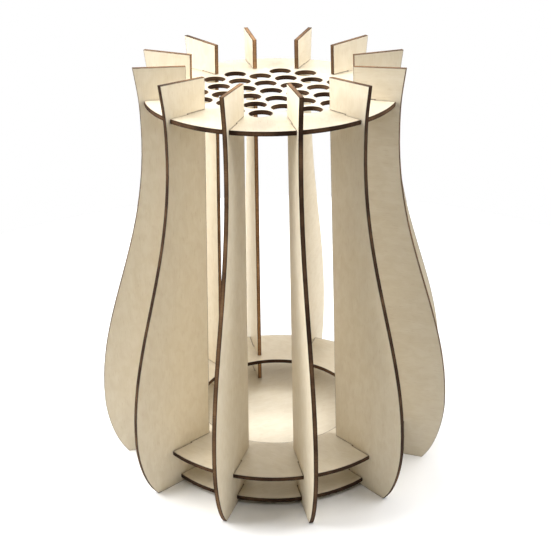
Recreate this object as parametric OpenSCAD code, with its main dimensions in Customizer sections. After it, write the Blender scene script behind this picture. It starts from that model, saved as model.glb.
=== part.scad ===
// Round stand for brushes and slim hand tools, laser-cut from one thickness of plywood.
// Upright ribs carry a drilled top plate, an open ring and a base disc. Each joint is a
// cross-lap: the rib is slotted from its inner edge and the plate from its rim, half
// way each, and the plate lies on the floor of the rib's slot.

/* [Sheet and joints] */
// Thickness of the plywood
ply = 3; // [2.5:0.1:4]
// Clearance on each side of a rib in a plate's slot
slot_side_gap = 0.2; // [0.1:0.05:0.4]
// Clearance above a plate in a rib's slot
slot_top_gap = 0.3; // [0.1:0.05:0.5]
// Clearance between the blind ends of two crossed slots
slot_end_gap = 0.3; // [0.1:0.05:0.6]

/* [Ribs] */
// Number of upright ribs
rib_count = 12; // [8:1:14]
// Height of a rib at its outer tip
rib_h = 300; // [250:1:380]
// Fall of the top edge from the outer tip to the inner corner
top_fall = 1.2; // [0:0.1:8]
// Radius of the straight inner edge at the table
inner_foot_r = 69.2; // [55:0.1:84]
// Radius of the straight inner edge at the top
inner_top_r = 57.8; // [48:0.1:70]

/* [Rib outline] */
// Radius of the outer corner of the foot
foot_r = 117; // [100:0.5:141]
// Lean of the outline at the foot's corner, from the vertical
foot_lean = 40; // [10:1:60]
// Radius at the fullest point of the belly
belly_r = 131.6; // [120:0.1:160]
// Height of the fullest point of the belly
belly_z = 50; // [40:1:80]
// Radius at the waist
waist_r = 90.1; // [82:0.1:110]
// Depth of the waist below the outer tip
waist_depth = 40; // [25:1:60]
// Radius of the outer tip
lip_r = 93.1; // [85:0.1:120]
// Lean of the outline at the outer tip, from the vertical
lip_lean = 7; // [0:1:30]

/* [Top plate] */
// Depth of the plate's top face below the outer tips of the ribs
plate_depth = 22.6; // [15:0.1:40]
// Distance of the plate's rim inside the ribs' outer edges
rim_setback = 3.5; // [0:0.1:10]
// Diameter of a tool hole
hole_d = 15; // [8:0.5:18]
// Distance between the centres of neighbouring tool holes
hole_pitch = 19.1; // [12:0.1:30]

/* [Ring] */
// Height of the ring's top face
ring_z = 29.8; // [20:0.1:60]
// Outer radius of the ring
ring_r = 102.2; // [85:0.1:123]
// Radius of the ring's opening
ring_hole_r = 59.8; // [40:0.1:72]

/* [Base disc] */
// Height of the disc's top face
disc_z = 7.1; // [5:0.1:15]
// Radius of the disc
disc_r = 96.2; // [80:0.1:116]

/* [Hidden] */
$fn = 96;
// Straight steps in each of the outline's three curves
curve_steps = 24;
// How far each curve keeps its end's direction, as shares of its rise: foot, belly, waist, tip
foot_hold = 0.32;
belly_under_hold = 0.30;
belly_over_hold = 0.36;
waist_under_hold = 0.42;
waist_over_hold = 0.48;
tip_hold = 0.50;
// Overrun of a cut past the face that it opens
overrun = 1;

waist_z = rib_h - waist_depth;
plate_z = rib_h - plate_depth;
slot_w = ply + 2 * slot_side_gap;
slot_h = ply + slot_top_gap;

function rib_name(i) = str("rib_", i);

// Point at t on the curve whose four control points are p.
function bezier(p, t) =
    pow(1 - t, 3) * p[0] + 3 * t * pow(1 - t, 2) * p[1]
    + 3 * t * t * (1 - t) * p[2] + pow(t, 3) * p[3];

function lean(angle, length) = length * [sin(angle), cos(angle)];

foot_curve = [
    [foot_r, 0],
    [foot_r, 0] + lean(foot_lean, foot_hold * belly_z),
    [belly_r, belly_z * (1 - belly_under_hold)],
    [belly_r, belly_z]
];
flank_rise = waist_z - belly_z;
flank_curve = [
    [belly_r, belly_z],
    [belly_r, belly_z + belly_over_hold * flank_rise],
    [waist_r, waist_z - waist_under_hold * flank_rise],
    [waist_r, waist_z]
];
lip_curve = [
    [waist_r, waist_z],
    [waist_r, waist_z + waist_over_hold * waist_depth],
    [lip_r, rib_h] - lean(lip_lean, tip_hold * waist_depth),
    [lip_r, rib_h]
];

// Outer edge of a rib as [radius, height], from the foot's corner to the tip.
outer_edge = concat(
    [[foot_r, 0]],
    [for (c = [foot_curve, flank_curve, lip_curve], k = [1 : curve_steps]) bezier(c, k / curve_steps)]
);

// Radius of a rib's outer edge and inner edge at a height.
function outer_r(z) = lookup(z, [for (p = outer_edge) [p[1], p[0]]]);
function inner_r(z) = inner_foot_r + (inner_top_r - inner_foot_r) * z / rib_h;

plate_r = outer_r(plate_z) - rim_setback;

// Radius where a rib's slot and a plate's slot meet, for a plate of radius r with its top face at z.
function lap_r(r, z) = (inner_r(z) + r) / 2;

// Centres of a triangular grid whose holes all lie inside the circle of the ribs' inner edges.
hole_rows = ceil(inner_r(plate_z) / hole_pitch) * 2;
hole_centres = [
    for (row = [-hole_rows : hole_rows], col = [-hole_rows : hole_rows])
        let (p = hole_pitch * [col + row / 2, row * sin(60)])
        if (norm(p) + hole_d / 2 <= inner_r(plate_z)) p
];

module each_rib_place() {
    for (i = [1 : rib_count]) rotate(rib_angle(i)) children();
}

function rib_angle(i) = 360 / rib_count * (i - 1);

// A round plate with its top face at z, slotted from the rim for every rib.
module slotted_plate(r, z) {
    translate([0, 0, z - ply])
        difference() {
            cylinder(h = ply, r = r);
            each_rib_place()
                translate([lap_r(r, z), -slot_w / 2, -overrun])
                    cube([r, slot_w, ply + 2 * overrun]);
        }
}

module top_plate() {
    color("wheat")
        difference() {
            slotted_plate(plate_r, plate_z);
            for (p = hole_centres)
                translate([p[0], p[1], plate_z - ply - overrun])
                    cylinder(h = ply + 2 * overrun, d = hole_d);
        }
}

module lower_ring() {
    color("wheat")
        difference() {
            slotted_plate(ring_r, ring_z);
            translate([0, 0, ring_z - ply - overrun])
                cylinder(h = ply + 2 * overrun, r = ring_hole_r);
        }
}

module base_disc() {
    color("wheat") slotted_plate(disc_r, disc_z);
}

// The slot in a rib for a plate of radius r with its top face at z, open at the inner edge.
module rib_slot(r, z) {
    translate([0, z - ply])
        square([lap_r(r, z) + slot_end_gap, slot_h]);
}

module rib_outline() {
    difference() {
        polygon(concat(
            [[inner_foot_r, 0]],
            outer_edge,
            [[inner_r(rib_h - top_fall), rib_h - top_fall]]
        ));
        rib_slot(plate_r, plate_z);
        rib_slot(ring_r, ring_z);
        rib_slot(disc_r, disc_z);
    }
}

module rib(i) {
    color("burlywood")
        rotate(rib_angle(i))
            rotate([90, 0, 0])
                linear_extrude(ply, center = true) rib_outline();
}

top_plate();
lower_ring();
base_disc();
for (i = [1 : rib_count]) rib(i);
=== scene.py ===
import math

import bmesh
import bpy
from mathutils import Matrix, Vector


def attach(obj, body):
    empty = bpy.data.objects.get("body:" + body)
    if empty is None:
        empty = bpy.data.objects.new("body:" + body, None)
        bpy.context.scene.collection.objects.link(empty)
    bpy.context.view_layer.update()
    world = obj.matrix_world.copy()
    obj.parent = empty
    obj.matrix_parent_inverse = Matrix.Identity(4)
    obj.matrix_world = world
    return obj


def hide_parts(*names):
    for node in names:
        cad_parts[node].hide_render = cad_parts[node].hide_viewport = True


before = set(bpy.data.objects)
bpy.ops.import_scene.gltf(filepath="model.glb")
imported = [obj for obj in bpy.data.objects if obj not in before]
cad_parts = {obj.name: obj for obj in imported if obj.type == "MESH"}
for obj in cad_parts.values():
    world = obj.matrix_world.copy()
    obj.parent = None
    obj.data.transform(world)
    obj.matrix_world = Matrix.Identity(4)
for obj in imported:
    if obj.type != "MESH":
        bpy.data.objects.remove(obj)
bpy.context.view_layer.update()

# ---------------------------------------------------------------- sizes, in metres
MM = 0.001
CUT_ROUNDING = 0.15 * MM      # how far the laser's heat softens each sharp rim
RIB_SCORCH = 0.5 * MM         # how far the browning creeps over a face from a cut
PLATE_SCORCH = 0.8 * MM
FIBRE_RELIEF = 0.05 * MM      # how deep the shading makes the fibres and pores look
CHAR_RELIEF = 0.12 * MM       # and the char streaks
WELD = 0.002 * MM             # corners closer than this are one corner

ALONG_NORMAL = 0.999          # how squarely a broad face looks through its board
LOOKS_INWARDS = -0.45         # how far a cut has to turn to the stand's axis to be an inner edge
FLAT_TURN = math.radians(0.05)     # triangles that meet flatter than this are one face
SHARP_TURN = math.radians(25)      # faces that meet more steeply than this keep a sharp edge

PLATES = ["top_plate", "lower_ring", "base_disc"]
RIBS = sorted((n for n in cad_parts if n.startswith("rib_")), key=lambda n: int(n[4:]))

# How dark each board's cuts are burnt, from golden at 0 to charred at 1
BURNS = {"rib_5": 0.30, "rib_6": 0.90, "rib_9": 0.95, "rib_10": 0.68, "rib_11": 0.84,
         "rib_12": 0.95, "top_plate": 0.90, "lower_ring": 0.98, "base_disc": 1.00}
USUAL_BURN = 0.7
# The same for the ribs' straight inner edges
INNER_BURNS = {"rib_2": 0.70, "rib_3": 0.72, "rib_4": 0.60, "rib_5": 0.10, "rib_6": 0.42}
USUAL_INNER_BURN = 0.25
# How pale each board's veneer is
TONES = {"rib_1": 0.94, "rib_2": 0.89, "rib_3": 0.95, "rib_7": 1.03, "rib_8": 0.95, "rib_9": 1.03,
         "rib_10": 1.06, "rib_11": 1.10, "lower_ring": 0.91, "base_disc": 0.91}
USUAL_TONE = 1.0
# Ribs that were cut from the sheet sideways, so that their grain lies level
SIDEWAYS_RIBS = ("rib_1", "rib_4")

# Steps from one board's place on the sheet to the next one's, so that no two share their grain
RIB_STEP = Vector((0.31, 0.47))
FIRST_PLATE_PLACE = Vector((5, 2))
PLATE_STEP = Vector((0.6, 0.7))
FIRST_PLATE_GRAIN = 20        # degrees round from +X
PLATE_GRAIN_STEP = 55


# ---------------------------------------------------------------- boards
def rib_axes(index):
    """Directions of a rib: outwards, up, and through its thickness."""
    turn = 2 * math.pi * index / len(RIBS)
    out = Vector((math.cos(turn), math.sin(turn), 0))
    up = Vector((0, 0, 1))
    return out, up, up.cross(out)


def rib_grain(name, out, up):
    """Directions across and along a rib's grain."""
    return (up, out) if name in SIDEWAYS_RIBS else (out, up)


def plate_axes(grain_turn):
    """Directions of a plate: across the grain, along it, and up through its thickness."""
    across = Vector((math.cos(grain_turn), math.sin(grain_turn), 0))
    up = Vector((0, 0, 1))
    return across, up.cross(across), up


def is_face(polygon, through):
    """True for the two broad faces of a board, and false for its cut walls."""
    return abs(polygon.normal.dot(through)) > ALONG_NORMAL


def welded_copy(node):
    """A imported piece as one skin, its coplanar triangles joined into whole faces."""
    bm = bmesh.new()
    bm.from_mesh(node.data)
    bmesh.ops.remove_doubles(bm, verts=bm.verts, dist=WELD)
    bmesh.ops.dissolve_limit(bm, angle_limit=FLAT_TURN, verts=bm.verts, edges=bm.edges)
    return bm


def soften_rims(bm, through):
    """Rounds the two rims of every cut."""
    rims = [e for e in bm.edges if len(e.link_faces) == 2
            and is_face(e.link_faces[0], through) != is_face(e.link_faces[1], through)]
    bmesh.ops.bevel(bm, geom=rims, offset=CUT_ROUNDING, segments=2, profile=0.5,
                    affect="EDGES", material=-1, clamp_overlap=True)


def band_for_scorch(bm, through, width):
    """Lays a narrow band inside the outline of both broad faces."""
    for side in (1, -1):
        broad = [f for f in bm.faces if f.normal.dot(through) * side > ALONG_NORMAL]
        bmesh.ops.inset_region(bm, faces=broad, thickness=width, depth=0,
                               use_boundary=True, use_even_offset=True)


def burn_of(vertex, outwards, burn, inner_burn):
    """How dark a cut is burnt here: inner_burn on a rib's straight inner edge, burn elsewhere."""
    facing = sum((f.normal for f in vertex.link_faces), Vector()).normalized()
    return inner_burn if outwards and facing.dot(outwards) < LOOKS_INWARDS else burn


def cut_board(node_name, axes, sheet_place, scorch_width, outwards=None):
    """A board cut from the sheet: softened rims, scorch bands, grain map and ply layers.

    axes are the directions across the grain, along it and through the thickness.
    """
    across, along, through = axes
    burn = BURNS.get(node_name, USUAL_BURN)
    inner_burn = INNER_BURNS.get(node_name, USUAL_INNER_BURN)
    tone = TONES.get(node_name, USUAL_TONE)
    bm = welded_copy(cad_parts[node_name])
    soften_rims(bm, through)
    band_for_scorch(bm, through, scorch_width)
    bm.normal_update()

    depths = [v.co.dot(through) for v in bm.verts]
    low, thickness = min(depths), max(depths) - min(depths)
    layer_key = bm.verts.layers.float.new("layer")
    scorch_key = bm.verts.layers.float.new("scorch")
    burn_key = bm.verts.layers.float.new("burn")
    tone_key = bm.verts.layers.float.new("tone")
    for v in bm.verts:
        v[layer_key] = (v.co.dot(through) - low) / thickness
        v[scorch_key] = 0.0 if all(is_face(f, through) for f in v.link_faces) else 1.0
        v[burn_key] = burn_of(v, outwards, burn, inner_burn)
        v[tone_key] = tone

    sheet_key = bm.loops.layers.uv.new("sheet")
    for f in bm.faces:
        f.smooth = True
        f.material_index = 0 if is_face(f, through) else 1
        for loop in f.loops:
            place = Vector((loop.vert.co.dot(across), loop.vert.co.dot(along)))
            loop[sheet_key].uv = place + sheet_place

    mesh = bpy.data.meshes.new(node_name + "_board")
    bm.to_mesh(mesh)
    bm.free()
    mesh.set_sharp_from_angle(angle=SHARP_TURN)
    mesh.materials.append(veneer)
    mesh.materials.append(burnt_cut)
    board = bpy.data.objects.new(node_name + "_board", mesh)
    bpy.context.scene.collection.objects.link(board)
    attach(board, "root")
    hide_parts(node_name)
    return board


# ---------------------------------------------------------------- finishes
class Finish:
    """A node material built from the top down: each call adds one node and returns its output."""

    def __init__(self, name, roughness):
        self.material = bpy.data.materials.new(name)
        self.material.use_nodes = True
        self.tree = self.material.node_tree
        self.shader = self.tree.nodes["Principled BSDF"]
        self.shader.inputs["Roughness"].default_value = roughness

    def add(self, kind, **settings):
        node = self.tree.nodes.new(kind)
        for name, value in settings.items():
            setattr(node, name, value)
        return node

    def plug(self, source, socket):
        self.tree.links.new(source, socket)

    def sheet(self, scale):
        """The board's own grain map, stretched by scale across and along the grain."""
        uv = self.add("ShaderNodeUVMap", uv_map="sheet")
        stretch = self.add("ShaderNodeMapping")
        stretch.inputs["Scale"].default_value = (*scale, 1)
        self.plug(uv.outputs["UV"], stretch.inputs["Vector"])
        return stretch.outputs["Vector"]

    def value(self, name):
        return self.add("ShaderNodeAttribute", attribute_name=name).outputs["Fac"]

    def noise(self, vector, scale=1.0, detail=3.0, distortion=0.0):
        node = self.add("ShaderNodeTexNoise", noise_dimensions="2D")
        node.inputs["Scale"].default_value = scale
        node.inputs["Detail"].default_value = detail
        node.inputs["Distortion"].default_value = distortion
        self.plug(vector, node.inputs["Vector"])
        return node.outputs["Fac"]

    def ramp(self, source, stops):
        node = self.add("ShaderNodeValToRGB")
        points = node.color_ramp.elements
        while len(points) < len(stops):
            points.new(0.5)
        for point, (place, colour) in zip(points, stops):
            point.position = place
            point.color = (*colour, 1) if len(colour) == 3 else colour
        self.plug(source, node.inputs["Fac"])
        return node.outputs["Color"]

    def grey(self, source, low, high, dark=0.0, light=1.0):
        """source from low to high, as a grey from dark to light."""
        node = self.add("ShaderNodeMapRange")
        limits = {"From Min": low, "From Max": high, "To Min": dark, "To Max": light}
        for name, number in limits.items():
            node.inputs[name].default_value = number
        self.plug(source, node.inputs["Value"])
        return node.outputs["Result"]

    def maths(self, operation, a, b):
        node = self.add("ShaderNodeMath", operation=operation)
        for socket, source in zip(node.inputs, (a, b)):
            if isinstance(source, (int, float)):
                socket.default_value = source
            else:
                self.plug(source, socket)
        return node.outputs["Value"]

    def mix(self, share, a, b, blend="MIX"):
        node = self.add("ShaderNodeMix", data_type="RGBA", blend_type=blend)
        for name, source in (("Factor", share), ("A", a), ("B", b)):
            socket = node.inputs[name]
            if isinstance(source, (int, float)):
                socket.default_value = source
            elif isinstance(source, tuple):
                socket.default_value = (*source, 1)
            else:
                self.plug(source, socket)
        return node.outputs["Result"]

    def colour(self, source):
        self.plug(source, self.shader.inputs["Base Color"])

    def relief(self, source, height):
        bump = self.add("ShaderNodeBump")
        bump.inputs["Distance"].default_value = height
        self.plug(source, bump.inputs["Height"])
        self.plug(bump.outputs["Normal"], self.shader.inputs["Normal"])


def veneer_finish():
    """Bare pale veneer with growth bands, fibres and pores, browned along its cuts."""
    f = Finish("veneer", roughness=0.62)
    blotches = f.noise(f.sheet((16, 9)), detail=2.0)
    growth = f.noise(f.sheet((95, 12)), detail=4.0, distortion=0.6)
    fibres = f.noise(f.sheet((1300, 75)), detail=3.0)
    mottle = f.noise(f.sheet((190, 110)), detail=4.0, distortion=0.5)
    pores = f.noise(f.sheet((1100, 140)), detail=1.0)

    # Growth bands from darker to paler wood, then warmer blotches over them
    growth_ramp = [(0.30, (0.712, 0.629, 0.472)), (0.52, (0.738, 0.661, 0.505)),
                   (0.75, (0.758, 0.686, 0.530))]
    wood = f.ramp(growth, growth_ramp)
    warm = (0.760, 0.665, 0.474)
    wood = f.mix(f.grey(blotches, 0.35, 0.7, 0.0, 0.45), wood, warm)
    # A little of the fine fibres and the mottle, each as a ramp from dark to light
    fibre_ramp = [(0.3, (0.65, 0.56, 0.43)), (0.7, (0.82, 0.74, 0.62))]
    wood = f.mix(0.18, wood, f.ramp(fibres, fibre_ramp))
    mottle_ramp = [(0.35, (0.67, 0.58, 0.44)), (0.65, (0.80, 0.73, 0.61))]
    wood = f.mix(0.28, wood, f.ramp(mottle, mottle_ramp))
    pore = (0.49, 0.36, 0.22)
    wood = f.mix(f.grey(pores, 0.68, 0.78, 0.0, 0.22), wood, pore)
    wood = f.mix(1.0, wood, f.value("tone"), "MULTIPLY")

    # The brown halo beside each cut, ragged along its inside
    ragged = f.noise(f.sheet((420, 420)), detail=3.0)
    halo = f.maths("MULTIPLY", f.value("scorch"), f.grey(ragged, 0.25, 0.75, 0.6, 1.0))
    halo = f.maths("MULTIPLY", f.maths("POWER", halo, 1.2), f.value("burn"))
    scorched = (0.12, 0.055, 0.025)
    f.colour(f.mix(halo, wood, scorched))
    f.relief(f.maths("ADD", fibres, f.maths("MULTIPLY", pores, -0.6)), FIBRE_RELIEF)
    return f.material


def ply_layers(f, layer, rim, glue, core):
    """Three veneers of the core colour, with glue lines between them and dark rims."""
    return f.ramp(layer, [(0.00, rim), (0.10, rim), (0.20, core), (0.33, glue), (0.42, core),
                          (0.58, core), (0.67, glue), (0.80, core), (0.90, rim), (1.00, rim)])


def burnt_cut_finish():
    """A laser-cut wall: three veneers, dark glue lines, and char streaks right through."""
    f = Finish("burnt_cut", roughness=0.8)
    f.shader.inputs["Specular IOR Level"].default_value = 0.2
    layer = f.value("layer")
    streaks = f.noise(f.sheet((2200, 2200)), detail=2.0)
    patches = f.noise(f.sheet((45, 45)), detail=3.0)
    golden = ply_layers(f, layer, rim=(0.130, 0.060, 0.025), glue=(0.260, 0.130, 0.060),
                        core=(0.460, 0.262, 0.125))
    charred = ply_layers(f, layer, rim=(0.014, 0.006, 0.002), glue=(0.024, 0.010, 0.004),
                         core=(0.048, 0.021, 0.009))
    uneven = f.grey(patches, 0.30, 0.70, -0.16, 0.16)
    burn = f.maths("ADD", f.value("burn"), uneven)
    wood = f.mix(burn, golden, charred)
    soot = (0.020, 0.010, 0.006)
    wood = f.mix(f.grey(streaks, 0.45, 0.70, 0.0, 0.35), wood, soot)
    f.colour(wood)
    f.relief(streaks, CHAR_RELIEF)
    return f.material


veneer = veneer_finish()
burnt_cut = burnt_cut_finish()

# ---------------------------------------------------------------- the stand
for index, name in enumerate(RIBS):
    out, up, through = rib_axes(index)
    axes = (*rib_grain(name, out, up), through)
    cut_board(name, axes, RIB_STEP * index, RIB_SCORCH, outwards=out)
for index, name in enumerate(PLATES):
    axes = plate_axes(math.radians(FIRST_PLATE_GRAIN + PLATE_GRAIN_STEP * index))
    cut_board(name, axes, FIRST_PLATE_PLACE + PLATE_STEP * index, PLATE_SCORCH)

# ---------------------------------------------------------------- floor, light and camera
TURN = math.radians(18.70)        # how far the camera stands round from the front
AWAY, HEIGHT = 0.7148, 0.4872     # from the stand's axis, and above the table
DOWN = math.radians(26.09)        # how far it looks down,
ASIDE = math.radians(0.08)        # to the side of the stand's axis,
TILT = math.radians(-0.92)        # and how far it rolls
LENS, SENSOR = 70.26, 36.0        # both in millimetres
FLOOR_RADIUS = 0.50               # small enough for its edge to be as white as the surround
AIM_POINT = Vector((0, 0, 0.14))  # the middle of the stand, which every softbox faces

# Where each softbox stands: degrees round from the camera, to its right, then how far away from
# the stand's axis and how high, in metres; and last its width in metres and its power in watts
SOFTBOXES = {
    "left_softbox": (-80, 0.6, 0.6, 0.5, 7.6),
    "right_softbox": (80, 0.6, 0.6, 0.5, 4.0),
    "back_left_softbox": (-130, 1.1, 0.8, 0.7, 4.7),
    "back_right_softbox": (130, 1.1, 0.8, 0.7, 5.3),
    "back_low_softbox": (180, 1.2, 0.3, 0.6, 5.3),
    "top_back_softbox": (180, 0.5, 1.4, 0.7, 3.0),
    "crown_top": (0, 0, 0.85, 0.4, 1.0),
    "crown_back": (180, 0.5, 0.8, 0.3, 1.5),
    "crown_front": (0, 0.5, 0.8, 0.3, 0.8),
    "crown_right": (60, 0.45, 0.75, 0.3, 0.55),
}


def floor_finish():
    """Matt white, with the faintest cloudiness."""
    f = Finish("studio_white", roughness=0.9)
    grain = f.noise(f.add("ShaderNodeTexCoord").outputs["Object"], scale=9.0)
    f.colour(f.ramp(grain, [(0.3, (0.94, 0.94, 0.94)), (0.7, (0.97, 0.97, 0.97))]))
    return f.material


def lay_floor(radius):
    """A round white table top under the stand."""
    bm = bmesh.new()
    bmesh.ops.create_circle(bm, cap_ends=True, segments=64, radius=radius)
    mesh = bpy.data.meshes.new("studio_floor")
    bm.to_mesh(mesh)
    bm.free()
    mesh.materials.append(floor_finish())
    floor = bpy.data.objects.new("studio_floor", mesh)
    bpy.context.scene.collection.objects.link(floor)


def soft_light(name, place, size, watts):
    """A square softbox that faces the middle of the stand."""
    lamp = bpy.data.lights.new(name, "AREA")
    lamp.shape = "SQUARE"
    lamp.size = size
    lamp.energy = watts
    box = bpy.data.objects.new(name, lamp)
    aim = AIM_POINT - Vector(place)
    box.matrix_world = Matrix.Translation(place) @ aim.to_track_quat("-Z", "Y").to_matrix().to_4x4()
    bpy.context.scene.collection.objects.link(box)


def around(turn, away, height):
    """A point at an angle round from the camera, to its right."""
    a = TURN + math.radians(turn)
    return away * math.sin(a), -away * math.cos(a), height


def set_camera():
    """The studio camera, a little above the stand and looking down at it."""
    data = bpy.data.cameras.new("studio_camera")
    data.sensor_width = SENSOR
    data.lens = LENS
    camera = bpy.data.objects.new("studio_camera", data)
    look = Matrix.Rotation(TURN - ASIDE, 4, "Z") @ Matrix.Rotation(math.pi / 2 - DOWN, 4, "X")
    roll = Matrix.Rotation(TILT, 4, "Z")
    camera.matrix_world = Matrix.Translation(around(0, AWAY, HEIGHT)) @ look @ roll
    bpy.context.scene.collection.objects.link(camera)
    bpy.context.scene.camera = camera


lay_floor(FLOOR_RADIUS)
set_camera()
for name, (turn, away, height, size, watts) in SOFTBOXES.items():
    soft_light(name, around(turn, away, height), size, watts)

world = bpy.data.worlds.new("studio")
bpy.context.scene.world = world
world.use_nodes = True
world.node_tree.nodes["Background"].inputs["Color"].default_value = (1, 1, 1, 1)
# The white surround is there only to be looked at: the softboxes do all the lighting
for ray in ("diffuse", "glossy", "transmission", "scatter"):
    setattr(world.cycles_visibility, ray, False)
bpy.context.scene.view_settings.view_transform = "Standard"
